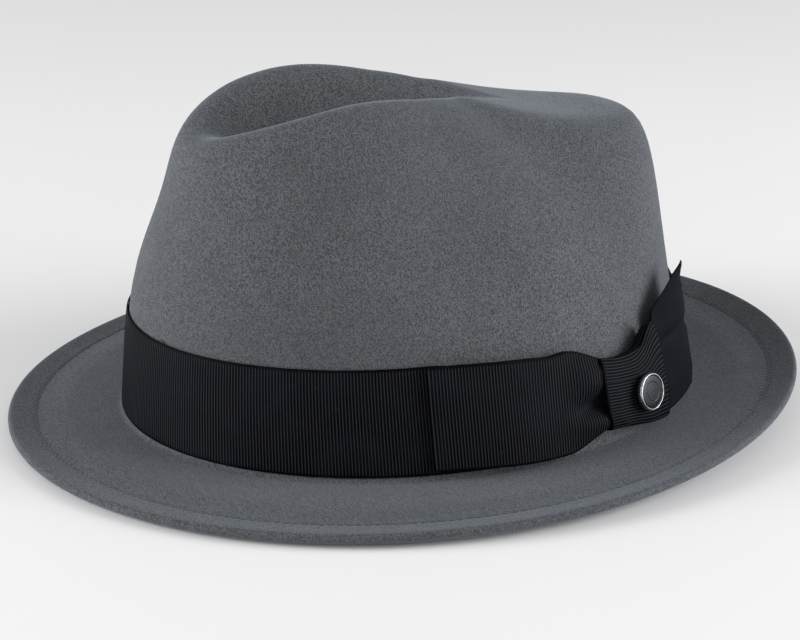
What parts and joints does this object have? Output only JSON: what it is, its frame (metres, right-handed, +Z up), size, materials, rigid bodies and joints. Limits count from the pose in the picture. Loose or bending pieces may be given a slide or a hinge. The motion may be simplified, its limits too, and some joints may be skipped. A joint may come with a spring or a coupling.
{
  "type": "fedora hat",
  "caption": "Felt fedora with a short turned-up brim, creased crown, ribbed ribbon band with a side bow and a small round badge, lined and fitted with a leather sweatband.",
  "frame": {"origin": "on the table, under the middle of the brim's outline", "axes": "+Z up, the front of the hat faces -Y, the bow (wearer's left) is on +X"},
  "size_m": [0.255, 0.295, 0.12],
  "materials": {
    "wool_felt": "matt brushed wool felt, mid grey",
    "brim_thread": "dark grey sewing thread",
    "grosgrain": "black ribbed ribbon, low sheen",
    "black_thread": "black sewing thread",
    "bright_metal": "polished rim",
    "dark_metal": "dark brushed plate, no mark",
    "steel": "plain steel",
    "sweatband_leather": "smooth dark leather",
    "piping_satin": "satin covered cord",
    "label_cloth": "woven label, blank",
    "lining_satin": "satin"
  },
  "bodies": {
    "hat": {"felt_body": "wool_felt", "welt_stitch_top": "brim_thread", "welt_stitch_under": "brim_thread", "hat_band": "grosgrain", "band_tack_1": "black_thread", "band_tack_2": "black_thread", "band_tack_3": "black_thread", "band_tack_4": "black_thread", "bow_loop": "grosgrain", "bow_knot": "grosgrain", "bow_tail": "grosgrain", "sweatband": "sweatband_leather", "sweatband_reed": "piping_satin", "sweatband_stitch": "black_thread", "sweatband_seam_tape": "sweatband_leather", "sweatband_bow": "grosgrain", "size_label": "label_cloth", "lining_side": "lining_satin", "lining_tip": "lining_satin", "lining_piping": "piping_satin"},
    "badge": {"badge_rim": "bright_metal", "badge_face": "dark_metal", "badge_post": "steel", "badge_clutch": "steel"}
  },
  "joints": [
    {"name": "badge_turn", "type": "hinge", "parent": "hat", "child": "badge", "pos_m": [0.07921, 0.0577, 0.02103], "axis": [0.8776, 0.4232, 0.2251], "continuous": true}
  ]
}
